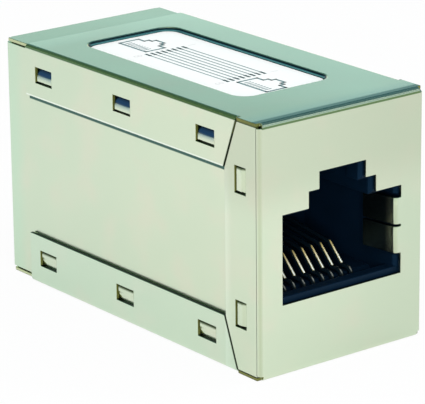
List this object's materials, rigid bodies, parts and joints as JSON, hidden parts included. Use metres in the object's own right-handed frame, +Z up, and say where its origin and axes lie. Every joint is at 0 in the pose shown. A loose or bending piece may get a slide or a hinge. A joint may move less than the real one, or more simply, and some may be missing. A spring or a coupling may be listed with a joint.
{
  "type": "rj45 inline coupler",
  "caption": "Shielded inline coupler: a folded metal box with a network jack in each end, joining two patch cords in line.",
  "frame": {"origin": "centre of the flat bottom face, halfway between the two ports", "axes": "+X across, to the right when looking into the front port; +Y from the front port to the rear port; +Z up, towards the labelled face"},
  "size_m": [0.0174, 0.0356, 0.0216],
  "materials": {
    "shield": "nickel-plated, satin",
    "label_film": null,
    "board": "solder mask",
    "black_plastic": "satin moulded",
    "contact_gold": "gold-plated",
    "solder": "bright solder"
  },
  "bodies": {
    "root": {"front_shell": "shield", "rear_shell": "shield", "label": "label_film", "circuit_board": "board", "front_jack_housing": "black_plastic", "front_contact_carrier": "black_plastic", "front_solder_joints": "solder", "front_contact_1": "contact_gold", "front_contact_2": "contact_gold", "front_contact_3": "contact_gold", "front_contact_4": "contact_gold", "front_contact_5": "contact_gold", "front_contact_6": "contact_gold", "front_contact_7": "contact_gold", "front_contact_8": "contact_gold", "rear_jack_housing": "black_plastic", "rear_contact_carrier": "black_plastic", "rear_solder_joints": "solder", "rear_contact_1": "contact_gold", "rear_contact_2": "contact_gold", "rear_contact_3": "contact_gold", "rear_contact_4": "contact_gold", "rear_contact_5": "contact_gold", "rear_contact_6": "contact_gold", "rear_contact_7": "contact_gold", "rear_contact_8": "contact_gold"}
  },
  "joints": []
}
